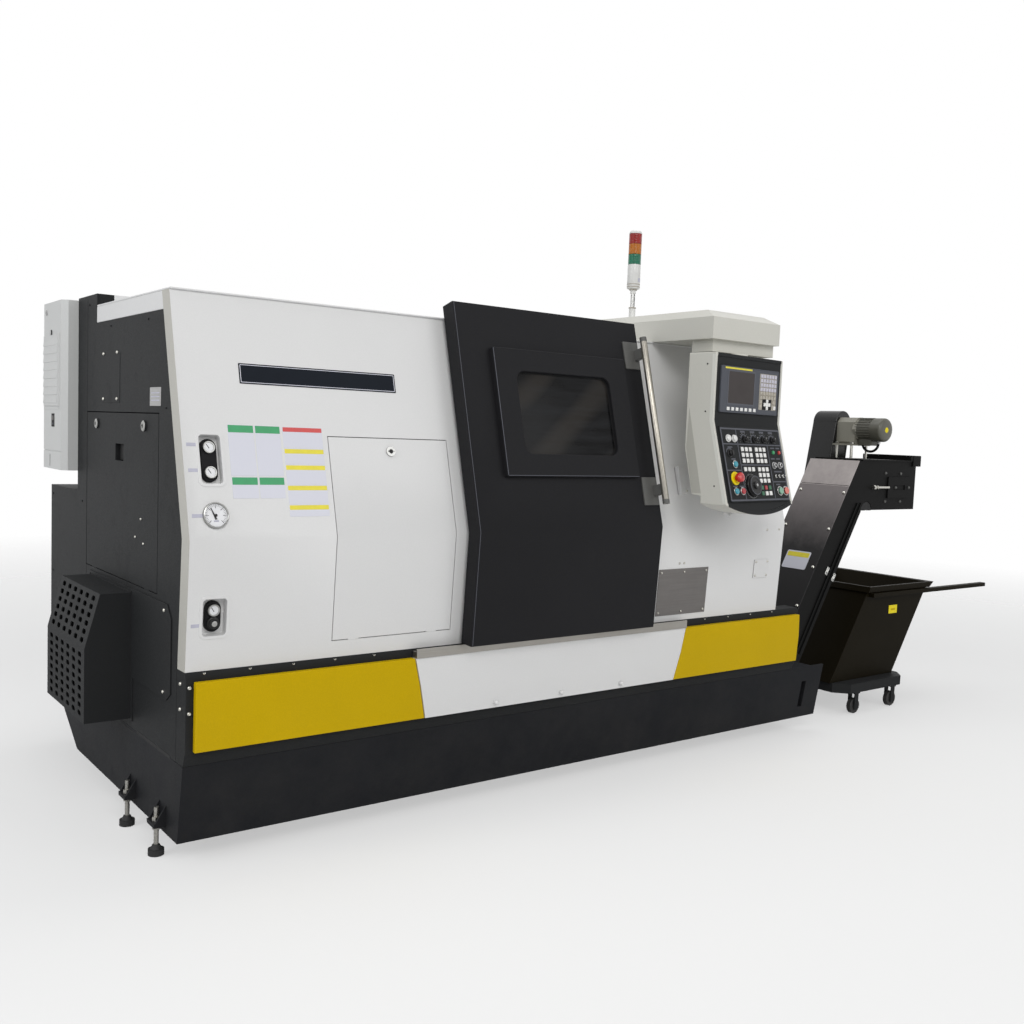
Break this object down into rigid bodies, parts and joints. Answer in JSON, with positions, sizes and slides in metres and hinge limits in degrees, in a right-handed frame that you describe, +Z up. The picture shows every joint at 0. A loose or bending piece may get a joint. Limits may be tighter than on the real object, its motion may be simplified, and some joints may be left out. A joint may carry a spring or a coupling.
{
  "type": "cnc turning lathe",
  "caption": "Enclosed slant-bed turning lathe with sliding door, hanging operator pendant, chip conveyor and wheeled chip cart.",
  "frame": {"origin": "on the floor, under the middle of the whole machine with its conveyor and cart", "axes": "+X along the spindle axis towards the chip conveyor, +Y to the back, +Z up"},
  "size_m": [5.141, 1.9798, 2.381],
  "materials": {
    "white_paint": "satin",
    "warm_white_paint": "satin",
    "black_paint": "fine texture",
    "yellow_paint": "satin",
    "bright_steel": "brushed",
    "stainless": "satin",
    "casting": "ground",
    "pane": "clear laminated",
    "lamp_lens": "ribbed",
    "red_plastic": "gloss",
    "black_plastic": "matt",
    "green_plastic": "gloss",
    "salmon_plastic": "gloss",
    "keypad_plastic": "matt",
    "motor_paint": "satin",
    "wheel_rubber": "matt"
  },
  "bodies": {
    "machine": {"base_plinth": "black_paint", "levelling_feet": "bright_steel", "front_apron": "black_paint", "apron_bands": "yellow_paint", "apron_centre_band": "white_paint", "door_rails": "bright_steel", "left_cover": "white_paint", "left_end_panel": "black_paint", "right_end_panel": "black_paint", "vent_guard": "black_paint", "rear_cabinet": "black_paint", "cabinet_cooler": "white_paint", "roof_cover": "white_paint", "gauge_pockets": "black_paint", "pressure_gauge": "bright_steel", "right_cover": "white_paint", "cover_plate": "stainless", "canopy": "warm_white_paint", "tower_post": "white_paint", "tower_lamps": "lamp_lens", "slant_bed": "casting", "headstock": "casting", "chamber_liner": "stainless", "conveyor_trough": "black_paint", "conveyor_cover": "stainless", "chain_guard": "black_paint", "conveyor_motor": "motor_paint"},
    "sliding_door": {"main_door": "black_paint", "window_frame": "black_paint", "window_glass": "pane", "door_handle": "bright_steel"},
    "access_flap": {"access_door": "white_paint"},
    "flap_lock": {"access_lock": "bright_steel"},
    "side_flap": {"side_door": "black_paint"},
    "pendant": {"pendant_housing": "warm_white_paint", "pendant_fascia": "black_plastic", "display_unit": "keypad_plastic"},
    "estop": {"estop_button": "red_plastic"},
    "handwheel": {"handwheel": "black_plastic"},
    "mode_switch": {"mode_knob": "black_plastic"},
    "feed_switch": {"feed_knob": "black_plastic"},
    "rapid_switch": {"rapid_knob": "black_plastic"},
    "speed_switch": {"spindle_knob": "black_plastic"},
    "start_button": {"cycle_start": "green_plastic"},
    "stop_button": {"cycle_stop": "salmon_plastic"},
    "spindle": {"spindle_chuck": "bright_steel"},
    "jaw_a": {"chuck_jaw_1": "bright_steel"},
    "jaw_b": {"chuck_jaw_2": "bright_steel"},
    "jaw_c": {"chuck_jaw_3": "bright_steel"},
    "saddle": {"turret_saddle": "casting"},
    "cross": {"cross_slide": "casting"},
    "turret": {"turret_disc": "bright_steel"},
    "tailstock": {"tailstock": "casting"},
    "quill": {"tailstock_quill": "bright_steel"},
    "cart": {"cart_dolly": "black_paint", "chip_bin": "black_paint"},
    "wheel_a": {"cart_wheel_1": "wheel_rubber"},
    "wheel_b": {"cart_wheel_2": "wheel_rubber"},
    "wheel_c": {"cart_wheel_3": "wheel_rubber"},
    "wheel_d": {"cart_wheel_4": "wheel_rubber"}
  },
  "joints": [
    {"name": "door_slide", "type": "slide", "parent": "machine", "child": "sliding_door", "axis": [1, 0, 0], "range_m": [-0.85, 0]},
    {"name": "access_flap_hinge", "type": "hinge", "parent": "machine", "child": "access_flap", "pos_m": [-1.6675, -0.66359, 0.6985], "axis": [1, 0, 0], "range_deg": [0, 75]},
    {"name": "flap_lock_turn", "type": "hinge", "parent": "access_flap", "child": "flap_lock", "pos_m": [-1.6675, -0.60748, 1.34064], "axis": [0, -0.965, 0.2623], "range_deg": [0, 90]},
    {"name": "side_flap_hinge", "type": "hinge", "parent": "machine", "child": "side_flap", "pos_m": [-2.4095, 0.02488, 0.8485], "axis": [0, -1, 0], "range_deg": [0, 75]},
    {"name": "pendant_swivel", "type": "hinge", "parent": "machine", "child": "pendant", "pos_m": [-0.0995, -0.79212, 1.786], "axis": [0, 0, 1], "range_deg": [-36, 20]},
    {"name": "estop_push", "type": "slide", "parent": "pendant", "child": "estop", "axis": [-0.1264, 0.9602, -0.2492], "range_m": [0, 0.005], "stiffness_N_per_m": 1500},
    {"name": "handwheel_turn", "type": "hinge", "parent": "pendant", "child": "handwheel", "pos_m": [-0.13239, -0.94206, 1.24204], "axis": [0.1264, -0.9602, 0.2492], "continuous": true},
    {"name": "mode_turn", "type": "hinge", "parent": "pendant", "child": "mode_switch", "pos_m": [-0.14453, -0.89432, 1.43218], "axis": [0.1264, -0.9602, 0.2492], "range_deg": [-130, 130]},
    {"name": "feed_turn", "type": "hinge", "parent": "pendant", "child": "feed_switch", "pos_m": [-0.07245, -0.88483, 1.43218], "axis": [0.1264, -0.9602, 0.2492], "range_deg": [-130, 130]},
    {"name": "rapid_turn", "type": "hinge", "parent": "pendant", "child": "rapid_switch", "pos_m": [-0.0048, -0.87592, 1.43218], "axis": [0.1264, -0.9602, 0.2492], "range_deg": [-130, 130]},
    {"name": "speed_turn", "type": "hinge", "parent": "pendant", "child": "speed_switch", "pos_m": [0.06507, -0.86672, 1.43218], "axis": [0.1264, -0.9602, 0.2492], "range_deg": [-130, 130]},
    {"name": "start_push", "type": "slide", "parent": "pendant", "child": "start_button", "axis": [-0.1264, 0.9602, -0.2492], "range_m": [0, 0.003], "stiffness_N_per_m": 1200},
    {"name": "stop_push", "type": "slide", "parent": "pendant", "child": "stop_button", "axis": [-0.1264, 0.9602, -0.2492], "range_m": [0, 0.003], "stiffness_N_per_m": 1200},
    {"name": "spindle_turn", "type": "hinge", "parent": "machine", "child": "spindle", "pos_m": [-1.6095, -0.21996, 1.12985], "axis": [1, 0, 0], "continuous": true},
    {"name": "jaw_a_slide", "type": "slide", "parent": "spindle", "child": "jaw_a", "axis": [0, 0.7071, -0.7071], "range_m": [-0.01, 0.008]},
    {"name": "jaw_b_slide", "type": "slide", "parent": "spindle", "child": "jaw_b", "axis": [0, 0.2588, 0.9659], "range_m": [-0.01, 0.008]},
    {"name": "jaw_c_slide", "type": "slide", "parent": "spindle", "child": "jaw_c", "axis": [0, -0.9659, -0.2588], "range_m": [-0.01, 0.008]},
    {"name": "saddle_slide", "type": "slide", "parent": "machine", "child": "saddle", "axis": [1, 0, 0], "range_m": [-0.18, 0.2]},
    {"name": "cross_slide_feed", "type": "slide", "parent": "saddle", "child": "cross", "axis": [0, 0.7071, 0.7071], "range_m": [-0.1, 0]},
    {"name": "turret_index", "type": "hinge", "parent": "cross", "child": "turret", "pos_m": [-0.9095, 0.01904, 1.36885], "axis": [1, 0, 0], "continuous": true},
    {"name": "tailstock_slide", "type": "slide", "parent": "machine", "child": "tailstock", "axis": [1, 0, 0], "range_m": [-0.1, 0.12]},
    {"name": "quill_slide", "type": "slide", "parent": "tailstock", "child": "quill", "axis": [1, 0, 0], "range_m": [-0.08, 0]},
    {"name": "cart_roll", "type": "slide", "parent": "machine", "child": "cart", "axis": [1, 0, 0], "range_m": [0, 0.6]},
    {"name": "wheel_a_turn", "type": "hinge", "parent": "cart", "child": "wheel_a", "pos_m": [1.2795, -0.52312, 0.041], "axis": [0, 1, 0], "continuous": true},
    {"name": "wheel_b_turn", "type": "hinge", "parent": "cart", "child": "wheel_b", "pos_m": [1.6115, -0.52312, 0.041], "axis": [0, 1, 0], "continuous": true},
    {"name": "wheel_c_turn", "type": "hinge", "parent": "cart", "child": "wheel_c", "pos_m": [1.2795, 0.20688, 0.041], "axis": [0, 1, 0], "continuous": true},
    {"name": "wheel_d_turn", "type": "hinge", "parent": "cart", "child": "wheel_d", "pos_m": [1.6115, 0.20688, 0.041], "axis": [0, 1, 0], "continuous": true}
  ],
  "couplings": [
    {"joint": "jaw_b_slide", "follows": "jaw_a_slide", "ratio": 1},
    {"joint": "jaw_c_slide", "follows": "jaw_a_slide", "ratio": 1}
  ]
}
